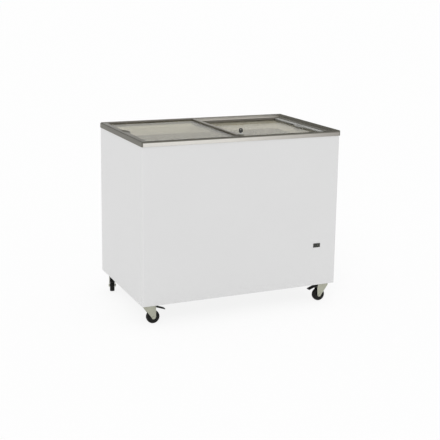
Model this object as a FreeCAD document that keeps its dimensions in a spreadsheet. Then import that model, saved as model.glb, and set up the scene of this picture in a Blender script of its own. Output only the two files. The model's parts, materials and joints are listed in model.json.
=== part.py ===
"""Chest freezer on four braked castors, with two flat glass lids that slide past each other.

Row frame: origin on the floor under the middle of the cabinet, +X to the customer's right,
the front faces -Y, +Z up. Millimetres.
"""
import FreeCAD, Part
import os
import re

import Sketcher

Vector = FreeCAD.Vector
X_AXIS, Y_AXIS, Z_AXIS = Vector(1, 0, 0), Vector(0, 1, 0), Vector(0, 0, 1)

# --------------------------------------------------------------------------- driving sizes
driving = {
    # cabinet
    "cabinet_width": 1040,  # over the painted shell
    "cabinet_depth": 644,
    "cabinet_height": 764,  # what shows of the shell, from its foot to the top frame
    "castor_height": 100,  # floor to the underside of the cabinet
    "shell_sheet": 0.8,
    "shell_bend": 8,  # outside radius of the two folded front corners
    "pan_sheet": 1.2,
    "wall": 54,  # shell outside to liner inside
    "floor_wall": 60,
    "liner_sheet": 0.8,
    "liner_corner": 20,
    # machine room at the right-hand end
    "machine_width": 230,
    "machine_height": 250,
    "partition_sheet": 0.8,
    # top frame section, measured inwards from its outer face and down from its top
    "rail_height": 26,
    "rail_overhang": 3,
    "rail_wall": 3,
    "rail_slot": 6,
    "rail_sole": 46,
    "rail_round": 2.5,
    "rail_skin": 2.5,
    "frame_corner": 7,
    "lip_width": 6,
    "lip_height": 16,
    "ledge_width": 22,
    "step_height": 16,
    "skirt_drop": 70,
    "skirt_wall": 2.5,
    "skirt_proud": 1,
    "seat_gap": 0.3,  # between pieces that drop into one another
    # trims on the top frame
    "strip_sheet": 1,
    "trim_height": 17.5,
    "trim_sheet": 1,
    # lids
    "lid_height": 13,
    "lid_overlap": 17.4,
    "end_gap": 0.7,  # lid to the rail that stops it
    "side_gap": 1,  # lid to the rail that guides it
    "slide_gap": 0.2,  # under the lid
    "glass_sheet": 4,
    "glass_bite": 8,  # how far the pane goes into its profiles
    "glass_cover": 6,  # profile above the pane
    "runner_width": 14,
    "meeting_width": 18,
    "end_stile_width": 26,
    "grip_length": 104,
    "grip_reach": 20,  # how far the grip swells in over the pane
    "grip_rim": 4,
    "grip_depth": 5,
    "brush_height": 3.4,
    "brush_width": 5,
    # lock
    "lock_width": 24,
    "lock_depth": 34,
    "lock_height": 9,
    "barrel_radius": 6.5,
    "barrel_proud": 3,
    "key_width": 7,
    "key_sheet": 2.2,
    "bow_width": 20,
    "bow_height": 24,
    "bow_sheet": 3.6,
    # temperature display
    "display_inset": 111,  # its middle from the right-hand side
    "display_z": 309,
    "display_width": 39,
    "display_height": 21,
    "display_proud": 2,
    "display_border": 3.4,
    "display_body": 20,
    "window_sheet": 1.5,
    # grille in the right-hand side
    "grille_y": -60,
    "grille_z": 232,
    "grille_length": 240,
    "grille_height": 150,
    "grille_proud": 2,
    "grille_lap": 8,  # frame of the grille over the edge of the hole
    "louvre_pitch": 13,
    "louvre_sheet": 1.8,
    "knob_radius": 15,
    "knob_height": 12,
    "knob_cup": 20,  # half the width of the well it stands in
    "grille_sole": 3,  # behind the well
    "spindle_radius": 3,
    "knob_inset": 36,  # from the rear end of the grille
    # cover over the rear of the machine room
    "cover_width": 206,
    "cover_height": 216,
    "cover_sheet": 1,
    "cover_lap": 10,
    "slot_length": 70,
    "slot_height": 5,
    "slot_pitch": 12,
    "screw_radius": 3.6,
    "inlet_width": 28,
    "inlet_height": 21,
    # compressor
    "compressor_inset": 116,  # its axis from the right-hand side
    "compressor_y": 40,
    "compressor_radius": 76,
    "compressor_height": 176,
    "tray_sheet": 1.5,
    "foot_height": 13,
    # drain
    "drain_inset": 160,  # its axis from the left-hand side
    "drain_setback": 152,  # and from the front
    "drain_bore": 5,
    "drain_wall": 2,
    "drain_flange": 15,
    "drain_spout": 22,
    # castors
    "castor_inset_x": 40,  # swivel axis from the side of the cabinet
    "castor_inset_y": 45,  # and from its front or back
    "plate_size": 64,
    "plate_sheet": 3,
    "bolt_spacing": 46,
    "bolt_head": 5.2,  # half the width over the corners of a hexagon head
    "pad_size": 72,
    "pad_height": 10,
    "race_radius": 22,
    "race_height": 6,
    "kingpin_radius": 5,
    "pin_clearance": 0.08,
    "wheel_radius": 32.5,
    "wheel_width": 24,
    "castor_trail": 27,
    "axle_radius": 4,
    "fork_gap": 13.6,  # half the space between the fork's cheeks
    "fork_sheet": 2.5,
    "pedal_width": 25,
    "pedal_reach": 87,
    "pedal_tip": 67,  # height of the pedal's outer end
    "pedal_pin": 2.5,
    "pedal_pin_x": 20,
    "pedal_pin_z": 77,
}

# sizes that follow from the driving ones
derived = {
    "overall_width": "cabinet_width + 2 * rail_overhang",
    "overall_depth": "cabinet_depth + 2 * rail_overhang",
    "shell_top": "castor_height + cabinet_height",
    "rail_top": "shell_top + rail_height",
    "foam_top": "rail_top - rail_sole",
    "foam_bottom": "castor_height + pan_sheet",
    "inner_width": "cabinet_width - 2 * shell_sheet",
    "inner_depth": "cabinet_depth - 2 * shell_sheet",
    "cavity_width": "cabinet_width - 2 * wall",
    "cavity_depth": "cabinet_depth - 2 * wall",
    "cavity_floor": "castor_height + floor_wall",
    "machine_left": "cabinet_width / 2 - machine_width",
    "machine_top": "castor_height + machine_height",
    "step_left": "machine_left - wall",
    "step_top": "machine_top + wall",
    "liner_top": "rail_top - skirt_drop - seat_gap",
    "step_wall": "lip_width + ledge_width",
    "track_end": "lip_width + 2 * ledge_width",
    "skirt_face": "rail_overhang + wall + skirt_proud",
    "skirt_back": "skirt_face - skirt_wall",
    "skirt_lean": "(skirt_face - track_end) / (skirt_drop - lip_height - step_height)",
    "sole_end": "track_end + (rail_sole - lip_height - step_height) * skirt_lean - skirt_wall",
    "upper_ledge": "rail_top - lip_height + strip_sheet",
    "lower_ledge": "rail_top - lip_height - step_height",
    "tray_top": "foam_bottom + tray_sheet",
    "compressor_foot": "tray_top + foot_height",
    "lid_width": "(overall_width - 2 * lip_width - ledge_width - 2 * end_gap + lid_overlap) / 2",
    "upper_lid_depth": "overall_depth - 2 * (lip_width + strip_sheet + side_gap)",
    "lower_lid_depth": "overall_depth - 2 * (step_wall + side_gap)",
    "upper_lid_x": "-overall_width / 2 + lip_width + end_gap + lid_width / 2",
    "lower_lid_x": "overall_width / 2 - step_wall - end_gap - lid_width / 2",
    "upper_lid_z": "upper_ledge + slide_gap",
    "lower_lid_z": "lower_ledge + slide_gap",
    "pane_level": "lid_height - glass_cover - glass_sheet",
    "castor_x": "cabinet_width / 2 - castor_inset_x",
    "castor_y": "cabinet_depth / 2 - castor_inset_y",
    "crown_top": "castor_height - plate_sheet - race_height - 0.5",
    "display_x": "cabinet_width / 2 - display_inset",
    "compressor_x": "cabinet_width / 2 - compressor_inset",
    "drain_x": "drain_inset - cabinet_width / 2",
    "drain_y": "drain_setback - cabinet_depth / 2",
    "pin_head": "crown_top - fork_sheet - 0.5",
    "cover_x": "machine_left + machine_width / 2",
    "cover_z": "castor_height + machine_height / 2",
}

doc = FreeCAD.newDocument("chest_freezer")
sheet = doc.addObject("Spreadsheet::Sheet", "sizes")
for row, (alias, size) in enumerate(driving.items(), start=1):
    sheet.set(f"A{row}", str(size))
    sheet.setAlias(f"A{row}", alias)
doc.recompute()


# --------------------------------------------------------------------------- modelling helpers
def formula(text):
    """The expression in terms of the sheet's cells, with the derived sizes written out."""

    def spell(match):
        word = match.group(0)
        if word in derived:
            return "(" + formula(derived[word]) + ")"
        if word in driving:
            return "sizes." + word
        return word

    return re.sub(r"[a-z]\w*", spell, str(text))


def number(text):
    """What an expression comes to now."""
    result = sheet.evalExpression(formula(text))
    return float(getattr(result, "Value", result))


def bind(item, **properties):
    """Ties properties of an object to expressions."""
    for name, text in properties.items():
        item.setExpression(name, formula(text))
    return item


def place(item, x="0", y="0", z="0", turn=None):
    """Puts an object at a point, turned about the upright axis by an angle in degrees."""
    if turn is not None:
        item.Placement = FreeCAD.Placement(Vector(0, 0, 0), FreeCAD.Rotation(Z_AXIS, turn))
    for axis, text in (("x", x), ("y", y), ("z", z)):
        item.setExpression(f"Placement.Base.{axis}", formula(text))
    return item


def new_body(label):
    body = doc.addObject("PartDesign::Body", label)
    body.Label = label
    body.AllowCompound = True
    return body


def origin_feature(body, role):
    return next(f for f in body.Origin.OriginFeatures if f.Role == role)


def new_sketch(body, plane, offset="0"):
    sketch = body.newObject("Sketcher::SketchObject", body.Name + "_sketch")
    sketch.AttachmentSupport = [(origin_feature(body, plane), "")]
    sketch.MapMode = "FlatFace"
    sketch.setExpression("AttachmentOffset.Base.z", formula(offset))
    return sketch


def fix(sketch, kind, text, *where):
    """One dimension of a sketch, tied to an expression."""
    index = sketch.addConstraint(Sketcher.Constraint(kind, *where, number(text)))
    sketch.setExpression(f"Constraints[{index}]", formula(text))


def draw_loop(sketch, corners):
    """A closed loop. A corner is (x, y), or (x, y, radius) where an arc runs from it to the next
    corner: the arc turns left of its chord with a positive radius and right with a negative one."""
    first = sketch.GeometryCount
    points = [Vector(number(c[0]), number(c[1]), 0) for c in corners]
    count = len(points)
    for i, corner in enumerate(corners):
        start, end = points[i], points[(i + 1) % count]
        if len(corner) == 2:
            sketch.addGeometry(Part.LineSegment(start, end), False)
            continue
        radius = number(corner[2])
        chord = end - start
        left = Vector(-chord.y, chord.x, 0).normalize()
        half = chord.Length / 2
        sag = abs(radius) - max(radius**2 - half**2, 0) ** 0.5
        middle = (start + end) * 0.5 + left * (sag if radius > 0 else -sag)
        sketch.addGeometry(Part.Arc(start, middle, end), False)
    starts = []
    for i in range(count):
        curve = sketch.Geometry[first + i]
        forward = curve.StartPoint.distanceToPoint(points[i]) < 1e-6
        starts.append((1, 2) if forward else (2, 1))
    for i in range(count):
        after = (i + 1) % count
        sketch.addConstraint(
            Sketcher.Constraint("Coincident", first + i, starts[i][1], first + after, starts[after][0])
        )
    for i, corner in enumerate(corners):
        fix(sketch, "DistanceX", corner[0], -1, 1, first + i, starts[i][0])
        fix(sketch, "DistanceY", corner[1], -1, 1, first + i, starts[i][0])
        if len(corner) == 3:
            fix(sketch, "Radius", str(corner[2]).lstrip("-"), first + i)


def draw_circle(sketch, x, y, radius):
    index = sketch.addGeometry(
        Part.Circle(Vector(number(x), number(y), 0), Z_AXIS, number(radius)), False
    )
    fix(sketch, "DistanceX", x, -1, 1, index, 3)
    fix(sketch, "DistanceY", y, -1, 1, index, 3)
    fix(sketch, "Radius", radius, index)


def draw(body, plane, *shapes, offset="0"):
    """A sketch of loops (lists of corners) and circles (three expressions: x, y and radius)."""
    sketch = new_sketch(body, plane, offset)
    for shape in shapes:
        if isinstance(shape, list):
            draw_loop(sketch, shape)
        else:
            draw_circle(sketch, *shape)
    return sketch


def rectangle(low_x, low_y, high_x, high_y):
    return [(low_x, low_y), (high_x, low_y), (high_x, high_y), (low_x, high_y)]


def centred(width, height, x="0", y="0"):
    across, up = f"({width}) / 2", f"({height}) / 2"
    return rectangle(f"({x}) - {across}", f"({y}) - {up}", f"({x}) + {across}", f"({y}) + {up}")


def polygon(x, y, reach, sides=6):
    """Corners of a regular polygon at a reach from its centre."""
    turns = [360 * i / sides for i in range(sides)]
    return [(f"({x}) + {reach} * cos({a} deg)", f"({y}) + {reach} * sin({a} deg)") for a in turns]


def pad(body, sketch, length, midplane=False, backwards=False):
    feature = body.newObject("PartDesign::Pad", body.Name + "_pad")
    feature.Profile = sketch
    feature.Midplane = midplane
    feature.Reversed = backwards
    return bind(feature, Length=length)


def pocket(body, sketch, length, midplane=False, backwards=False):
    feature = body.newObject("PartDesign::Pocket", body.Name + "_pocket")
    feature.Profile = sketch
    feature.Midplane = midplane
    feature.Reversed = backwards
    return bind(feature, Length=length)


def row_of(body, feature, axis, length, count):
    """Copies of a feature in a row along an axis of its body."""
    pattern = body.newObject("PartDesign::LinearPattern", body.Name + "_row")
    pattern.Originals = [feature]
    pattern.Direction = (origin_feature(body, axis), [""])
    pattern.Occurrences = count
    bind(pattern, Length=length)
    body.Tip = pattern
    return pattern


def dress_edges(body, kind, size, pick):
    """A fillet or chamfer on the edges of the body so far that pick says yes to."""
    doc.recompute()
    base = body.Tip
    names = [f"Edge{i}" for i, edge in enumerate(base.Shape.Edges, start=1) if pick(edge)]
    feature = body.newObject("PartDesign::" + kind, body.Name + "_dressed")
    feature.Base = (base, names)
    return bind(feature, **{"Radius" if kind == "Fillet" else "Size": size})


def round_edges(body, radius, pick):
    return dress_edges(body, "Fillet", radius, pick)


def bevel_edges(body, size, pick):
    return dress_edges(body, "Chamfer", size, pick)


def runs_along(edge, axis):
    """Is the edge straight, and parallel to the axis?"""
    if edge.Curve.TypeId != "Part::GeomLine":
        return False
    return abs(abs(edge.tangentAt(edge.FirstParameter).dot(axis)) - 1) < 1e-6


def near(edge, tolerance=0.01, **place_of):
    """Is the edge's middle at these expressions, given by axis name?"""
    middle = edge.CenterOfMass
    return all(abs(getattr(middle, axis) - number(text)) < tolerance for axis, text in place_of.items())


def boolean(kind, label, base, *tools):
    """base less the tools, or what base shares with them, as a Part::Cut or Part::Common."""
    for tool in tools:
        step = doc.addObject(kind, label)
        step.Base = base
        step.Tool = tool
        base = step
    base.Label = label
    return base


def together(label, *pieces):
    """Separate solids that share one node."""
    group = doc.addObject("Part::Compound", label)
    group.Links = list(pieces)
    group.Label = label
    return group


def mirrored(label, source, normal):
    copy = doc.addObject("Part::Mirroring", label)
    copy.Source = source
    copy.Base = Vector(0, 0, 0)
    copy.Normal = normal
    return copy


def block(label, low, high):
    """A box between two corners given as expressions."""
    box = doc.addObject("Part::Box", label)
    spans = [f"({b}) - ({a})" for a, b in zip(low, high)]
    bind(box, Length=spans[0], Width=spans[1], Height=spans[2])
    return place(box, *low)


def four_corners(label, piece):
    """The piece and its copies at the other three corners of the cabinet."""
    pair = together(label + "_pair", piece, mirrored(label + "_right", piece, X_AXIS))
    return together(label, pair, mirrored(label + "_back", pair, Y_AXIS))


nodes = {}


def keep(name, item):
    """Files an object as the sub-part of that name."""
    item.Label = name
    nodes[name] = item
    return item


# --------------------------------------------------------------------------- cabinet
def inside_block():
    """The space the folded shell encloses, up to the foot of the top frame."""
    body = place(new_body("inside_block"), z="foam_bottom")
    pad(body, draw(body, "XY_Plane", centred("inner_width", "inner_depth")), "foam_top - foam_bottom")
    round_edges(body, "shell_bend - shell_sheet",
                lambda e: runs_along(e, Z_AXIS) and near(e, y="-inner_depth / 2"))
    return body


def cavity_block(label, grow, top):
    """The stepped cold room, bigger all round by grow."""
    body = new_body(label)
    left = f"-cavity_width / 2 - {grow}"
    right = f"cavity_width / 2 + {grow}"
    pad(body, draw(body, "XZ_Plane", [
        (left, f"cavity_floor - {grow}"),
        (f"step_left + {grow}", f"cavity_floor - {grow}"),
        (f"step_left + {grow}", f"step_top - {grow}"),
        (right, f"step_top - {grow}"),
        (right, top),
        (left, top),
    ]), f"cavity_depth + 2 * ({grow})", midplane=True)
    end = number(right) - 1
    round_edges(body, f"liner_corner + {grow}",
                lambda e: runs_along(e, Z_AXIS) and abs(e.CenterOfMass.x) > end)
    return body


def bent_shell():
    """One painted sheet folded round the front and both sides, open at the back."""
    body = place(new_body("outer_shell"), z="castor_height")
    half_w, half_d = "cabinet_width / 2", "cabinet_depth / 2"
    pad(body, draw(body, "XY_Plane", rectangle(
        f"-{half_w}", f"-{half_d}", half_w, f"{half_d} - shell_sheet",
    )), "cabinet_height + rail_slot - seat_gap")
    pocket(body, draw(body, "XY_Plane", rectangle(
        f"-{half_w} + shell_sheet", f"-{half_d} + shell_sheet",
        f"{half_w} - shell_sheet", f"{half_d} + 1",
    ), offset="cabinet_height * 2"), "cabinet_height * 3")
    round_edges(body, "shell_bend", lambda e: runs_along(e, Z_AXIS) and near(e, y=f"-{half_d}"))
    round_edges(body, "shell_bend - shell_sheet",
                lambda e: runs_along(e, Z_AXIS) and near(e, y=f"-{half_d} + shell_sheet")
                and abs(e.CenterOfMass.x) < number(f"{half_w} - shell_sheet / 2"))
    window = centred(
        "display_width - 2 * display_border + 2 * seat_gap",
        "display_height - 2 * display_border + 2 * seat_gap",
        "display_x", "display_z - castor_height",
    )
    pocket(body, draw(body, "XZ_Plane", window, offset=half_d), "shell_sheet * 4", midplane=True)
    opening = centred(
        "grille_length - 2 * grille_lap", "grille_height - 2 * grille_lap",
        "grille_y", "grille_z - castor_height",
    )
    pocket(body, draw(body, "YZ_Plane", opening, offset=half_w), "shell_sheet * 4", midplane=True)
    return body


def back_sheet():
    """Flat sheet across the back, cut away behind the machine room."""
    body = place(new_body("back_panel"), y="cabinet_depth / 2", z="castor_height")
    outline = rectangle(
        "-cabinet_width / 2", "0", "cabinet_width / 2", "cabinet_height + rail_slot - seat_gap",
    )
    opening = centred(
        "cover_width - 2 * cover_lap", "cover_height - 2 * cover_lap",
        "cover_x", "cover_z - castor_height",
    )
    pad(body, draw(body, "XZ_Plane", outline, opening), "shell_sheet")
    return body


def bottom_sheet(label, left, right, folded, *holes):
    """Part of the bottom sheet, rounded at the folded front corner of the shell."""
    body = place(new_body(label), z="castor_height")
    outline = rectangle(left, "-inner_depth / 2", right, "inner_depth / 2")
    pad(body, draw(body, "XY_Plane", outline, *holes), "pan_sheet")
    round_edges(body, "shell_bend - shell_sheet",
                lambda e: runs_along(e, Z_AXIS) and near(e, x=folded, y="-inner_depth / 2"))
    return body


def base_pan():
    """Bottom sheet under the foam, with the drain hole."""
    hole = "2 * (drain_bore + drain_wall) + seat_gap"
    left = "-inner_width / 2"
    return bottom_sheet("base_pan", left, "machine_left", left, centred(hole, hole, "drain_x", "drain_y"))


def machine_floor():
    """Bottom sheet of the machine room, butted against the base pan."""
    right = "inner_width / 2"
    return bottom_sheet("machine_floor", "machine_left", right, right)


def corner_squares(label, size, low, thickness):
    """Four squares centred on the swivel axes."""
    body = place(new_body(label), z=low)
    squares = [
        centred(size, size, f"{side} * castor_x", f"{end} * castor_y")
        for side in (-1, 1) for end in (-1, 1)
    ]
    pad(body, draw(body, "XY_Plane", *squares), thickness)
    return body


def partition_sheets():
    """Wall and roof between the machine room and the foam, bent from one sheet."""
    body = new_body("partition_sheet_bend")
    wall, roof = "machine_left", "machine_top"
    right = "cabinet_width / 2"
    pad(body, draw(body, "XZ_Plane", [
        (f"{wall} - partition_sheet", "foam_bottom"), (wall, "foam_bottom"), (wall, roof), (right, roof),
        (right, f"{roof} + partition_sheet"), (f"{wall} - partition_sheet", f"{roof} + partition_sheet"),
    ]), "cabinet_depth", midplane=True)
    return body


def skirt_room():
    """What the leaning skirt of the top frame takes out of the foam."""
    wedge = doc.addObject("Part::Wedge", "skirt_room")
    wedge.Placement = FreeCAD.Placement(Vector(0, 0, 0), FreeCAD.Rotation(X_AXIS, 90))
    low = {"X": "overall_width / 2 - skirt_back", "Z": "overall_depth / 2 - skirt_back"}
    high = {"X": "overall_width / 2 - sole_end", "Z": "overall_depth / 2 - sole_end"}
    bind(wedge, Ymin="0 * skirt_drop", Ymax="foam_top - liner_top")
    for axis in "XZ":
        wedge.setExpression(axis + "min", formula(f"-({low[axis]})"))
        wedge.setExpression(axis + "max", formula(low[axis]))
        wedge.setExpression(axis + "2min", formula(f"-({high[axis]})"))
        wedge.setExpression(axis + "2max", formula(high[axis]))
    wedge.setExpression("Placement.Base.z", formula("liner_top"))
    return wedge


inside = inside_block()
keep("outer_shell", bent_shell())
keep("back_panel", back_sheet())
keep("base_pan", base_pan())
keep("machine_floor", machine_floor())
keep("castor_pads", corner_squares("castor_pads", "pad_size", "foam_bottom", "pad_height"))
keep("machine_partition", boolean("Part::Common", "machine_partition", partition_sheets(), inside))

liner_outside = cavity_block("liner_outside", "liner_sheet", "liner_top")
liner_inside = cavity_block("liner_inside", "0", "liner_top + 1")
half_seat = "(drain_bore + drain_wall + seat_gap / 2)"
drain_seat = block(
    "drain_seat",
    (f"drain_x - {half_seat}", f"drain_y - {half_seat}", "castor_height - 1"),
    (f"drain_x + {half_seat}", f"drain_y + {half_seat}", "cavity_floor + 1"),
)
keep("liner", boolean("Part::Cut", "liner", liner_outside, liner_inside, drain_seat))

pad_room = corner_squares("pad_room", "pad_size", "foam_bottom", "pad_height")
machine_block = block(
    "machine_block",
    ("machine_left - partition_sheet", "-cabinet_depth / 2", "castor_height"),
    ("cabinet_width / 2", "cabinet_depth / 2", "machine_top + partition_sheet"),
)
keep("insulation", boolean(
    "Part::Cut", "insulation", inside, liner_outside, skirt_room(), machine_block, pad_room, drain_seat,
))


# --------------------------------------------------------------------------- top frame
def rail_section():
    """Section of the top frame: across from the outer face, up from the top."""
    ledge, floor, sole = "-lip_height", "-lip_height - step_height", "-rail_sole"
    outline = [
        ("0", "-rail_height"),
        ("0", "-rail_round", "rail_round"),
        ("rail_round", "0"),
        ("lip_width", "0"),
        ("lip_width", ledge),
        ("step_wall", ledge),
        ("step_wall", floor),
        ("track_end", floor),
        ("skirt_face", "-skirt_drop"),
        ("skirt_back", "-skirt_drop"),
        ("sole_end", sole),
        ("rail_wall + shell_sheet + seat_gap", sole),
        ("rail_wall + shell_sheet + seat_gap", "-rail_height + rail_slot"),
        ("rail_wall", "-rail_height + rail_slot"),
        ("rail_wall", "-rail_height"),
    ]
    near_side = "rail_wall + shell_sheet + seat_gap + rail_skin"
    chamber = [
        (near_side, f"{sole} + rail_skin"),
        (near_side, f"{ledge} - rail_skin"),
        ("step_wall - rail_skin", f"{ledge} - rail_skin"),
        ("step_wall - rail_skin", f"{floor} - rail_skin"),
        ("sole_end - 2 * rail_skin", f"{floor} - rail_skin"),
        ("sole_end - 2 * rail_skin", f"{sole} + rail_skin"),
    ]
    return outline, chamber


def rail(label, length, upright):
    """A length of the frame section with both ends mitred; upright is the plane of the section."""
    body = new_body(label)
    pad(body, draw(body, upright, *rail_section()), length, midplane=True)
    inward = "skirt_face + 1"
    half = f"({length}) / 2"
    for sign in ("", "-"):
        along = (f"{sign}({half} + 1)", f"{sign}({half} + 1)", f"{sign}({half} - ({inward}))")
        across = ("-1", inward, inward)
        if upright == "YZ_Plane":
            corners = list(zip(along, across))
        else:
            corners = list(zip(across, along))
        pocket(body, draw(body, "XY_Plane", corners, offset="1"), "skirt_drop + 2")
    return body


def corner_tools():
    """Trims the four outer corners of the top frame to a small radius."""
    square = block(
        "corner_square",
        ("-overall_width / 2 - 1", "-overall_depth / 2 - 1", "rail_top - skirt_drop"),
        ("-overall_width / 2 + frame_corner", "-overall_depth / 2 + frame_corner", "rail_top + 1"),
    )
    keep_round = doc.addObject("Part::Cylinder", "corner_cylinder")
    bind(keep_round, Radius="frame_corner", Height="skirt_drop + 3")
    place(keep_round, "-overall_width / 2 + frame_corner", "-overall_depth / 2 + frame_corner",
          "rail_top - skirt_drop - 1")
    return four_corners("corner_tools", boolean("Part::Cut", "corner_tool", square, keep_round))


def bend_room():
    """Lets the folded corners of the shell into the slot of the frame."""
    room = block(
        "bend_corner",
        ("-cabinet_width / 2", "-cabinet_depth / 2", "foam_top - 1"),
        ("shell_bend + 1 - cabinet_width / 2", "shell_bend + 1 - cabinet_depth / 2", "shell_top + rail_slot"),
    )
    return together("bend_room", room, mirrored("bend_corner_right", room, X_AXIS))


corners = corner_tools()
bends = bend_room()
trim = block(
    "front_trim",
    ("-overall_width / 2 + frame_corner", "-overall_depth / 2", "rail_top - rail_height"),
    ("overall_width / 2 - frame_corner", "-overall_depth / 2 + trim_sheet",
     "rail_top - rail_height + trim_height"),
)
keep("front_trim", trim)
long_rail = place(rail("long_rail", "overall_width", "YZ_Plane"), "0", "-overall_depth / 2", "rail_top")
short_rail = place(rail("short_rail", "overall_depth", "XZ_Plane"), "-overall_width / 2", "0", "rail_top")
keep("frame_front_rail", boolean("Part::Cut", "frame_front_rail", long_rail, corners, bends, trim))
keep("frame_back_rail", boolean(
    "Part::Cut", "frame_back_rail", mirrored("long_rail_back", long_rail, Y_AXIS), corners,
))
keep("frame_left_rail", boolean("Part::Cut", "frame_left_rail", short_rail, corners, bends))
keep("frame_right_rail", boolean(
    "Part::Cut", "frame_right_rail", mirrored("short_rail_right", short_rail, X_AXIS), corners, bends,
))


def track_strip():
    """Angle strip lining the upper track along the front."""
    body = place(new_body("track_strip"), "0", "-overall_depth / 2", "rail_top")
    bottom = "-lip_height"
    pad(body, draw(body, "YZ_Plane", [
        ("lip_width", bottom),
        ("step_wall", bottom),
        ("step_wall", f"{bottom} + strip_sheet"),
        ("lip_width + strip_sheet", f"{bottom} + strip_sheet"),
        ("lip_width + strip_sheet", "-rail_round"),
        ("lip_width", "-rail_round"),
    ]), "overall_width - 2 * lip_width", midplane=True)
    return body


strip = track_strip()
keep("track_strips", together("track_strips", strip, mirrored("track_strip_back", strip, Y_AXIS)))


# --------------------------------------------------------------------------- fittings in the shell
def bezel():
    """Frame of the temperature display, with its housing behind the sheet."""
    body = place(new_body("display_bezel"), "display_x", "-cabinet_depth / 2", "display_z")
    pad(body, draw(body, "XZ_Plane", centred("display_width", "display_height")), "display_proud")
    neck = centred("display_width - 2 * display_border", "display_height - 2 * display_border")
    pad(body, draw(body, "XZ_Plane", neck), "display_body", backwards=True)
    bevel_edges(body, "display_proud * 0.5",
                lambda e: near(e, y="-display_proud") and e.BoundBox.YLength < 0.01)
    glass_seat = centred("display_width - 2 * display_border", "display_height - 2 * display_border")
    pocket(body, draw(body, "XZ_Plane", glass_seat, offset="display_proud"), "window_sheet")
    return body


keep("display_bezel", bezel())
window_half = "display_width / 2 - display_border - seat_gap / 2"
window_rise = "display_height / 2 - display_border - seat_gap / 2"
window_back = "-cabinet_depth / 2 - display_proud + window_sheet"
keep("display_window", block(
    "display_window",
    (f"display_x - ({window_half})", f"{window_back} - window_sheet + 0.4", f"display_z - ({window_rise})"),
    (f"display_x + {window_half}", window_back, f"display_z + {window_rise}"),
))


def louvred_grille():
    """Air grille in the right-hand side: leaning blades, and a dished seat for the knob."""
    body = place(new_body("side_grille"), "cabinet_width / 2", "grille_y", "grille_z")
    pad(body, draw(body, "YZ_Plane", centred("grille_length", "grille_height")), "grille_proud")
    collar_w = "grille_length - 2 * grille_lap - 2 * seat_gap"
    collar_h = "grille_height - 2 * grille_lap - 2 * seat_gap"
    depth = "knob_height + seat_gap + grille_sole - grille_proud"
    pad(body, draw(body, "YZ_Plane", centred(collar_w, collar_h)), depth, backwards=True)
    bevel_edges(body, "grille_proud * 0.6",
                lambda e: near(e, x="grille_proud") and e.BoundBox.XLength < 0.01)
    air_low = "-grille_length / 2 + 2 * grille_lap"
    air_high = "grille_length / 2 - knob_inset - knob_cup - grille_lap"
    low = "-grille_height / 2 + 2 * grille_lap"
    air = rectangle(air_low, low, air_high, f"-({low})")
    pocket(body, draw(body, "YZ_Plane", air, offset="grille_proud"), "louvre_pitch * 3")
    blade = [
        ("-knob_height", f"{low} + 0.4 * louvre_pitch"),
        ("grille_proud - 0.6", f"{low} - 0.2 * louvre_pitch"),
        ("grille_proud - 0.6", f"{low} - 0.2 * louvre_pitch + louvre_sheet"),
        ("-knob_height", f"{low} + 0.4 * louvre_pitch + louvre_sheet"),
    ]
    section = draw(body, "XZ_Plane", blade, offset=f"-({air_low}) + 1")
    first = pad(body, section, f"({air_high}) - ({air_low}) + 2", backwards=True)
    row_of(body, first, "Z_Axis", "grille_height - 4 * grille_lap", 10)
    knob_y = "grille_length / 2 - knob_inset"
    square = centred("2 * knob_cup", "2 * knob_cup", knob_y, "0")
    well = draw(body, "YZ_Plane", square, offset="grille_proud")
    pocket(body, well, "knob_height + seat_gap")
    spindle_hole = draw(body, "YZ_Plane", (knob_y, "0", "spindle_radius + pin_clearance"))
    pocket(body, spindle_hole, "knob_height * 2")
    return body


def thermostat_knob():
    """Twelve-sided knob with a finger bar across it and its spindle along X."""
    body = place(new_body("thermostat_knob"), "cabinet_width / 2 + grille_proud - knob_height",
                 "grille_y + grille_length / 2 - knob_inset", "grille_z")
    pad(body, draw(body, "YZ_Plane", polygon("0", "0", "knob_radius", 12)), "knob_height / 3")
    bar = draw(body, "YZ_Plane", [
        ("-knob_radius * 0.2", "-knob_radius * 0.9"),
        ("knob_radius * 0.2", "-knob_radius * 0.9"),
        ("knob_radius * 0.2", "knob_radius * 0.7"),
        ("0", "knob_radius * 0.95"),
        ("-knob_radius * 0.2", "knob_radius * 0.7"),
    ])
    pad(body, bar, "knob_height - 0.4")
    pad(body, draw(body, "YZ_Plane", ("0", "0", "spindle_radius")), "grille_sole", backwards=True)
    return body


def thermostat_body():
    """Thermostat fixed behind the knob's seat."""
    back = "cabinet_width / 2 + grille_proud - knob_height - seat_gap - grille_sole"
    body = place(new_body("thermostat"), back, "grille_y + grille_length / 2 - knob_inset", "grille_z")
    pad(body, draw(body, "YZ_Plane", centred("30", "36")), "20", backwards=True)
    return body


keep("side_grille", louvred_grille())
keep("thermostat_knob", thermostat_knob())
keep("thermostat", thermostat_body())


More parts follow.
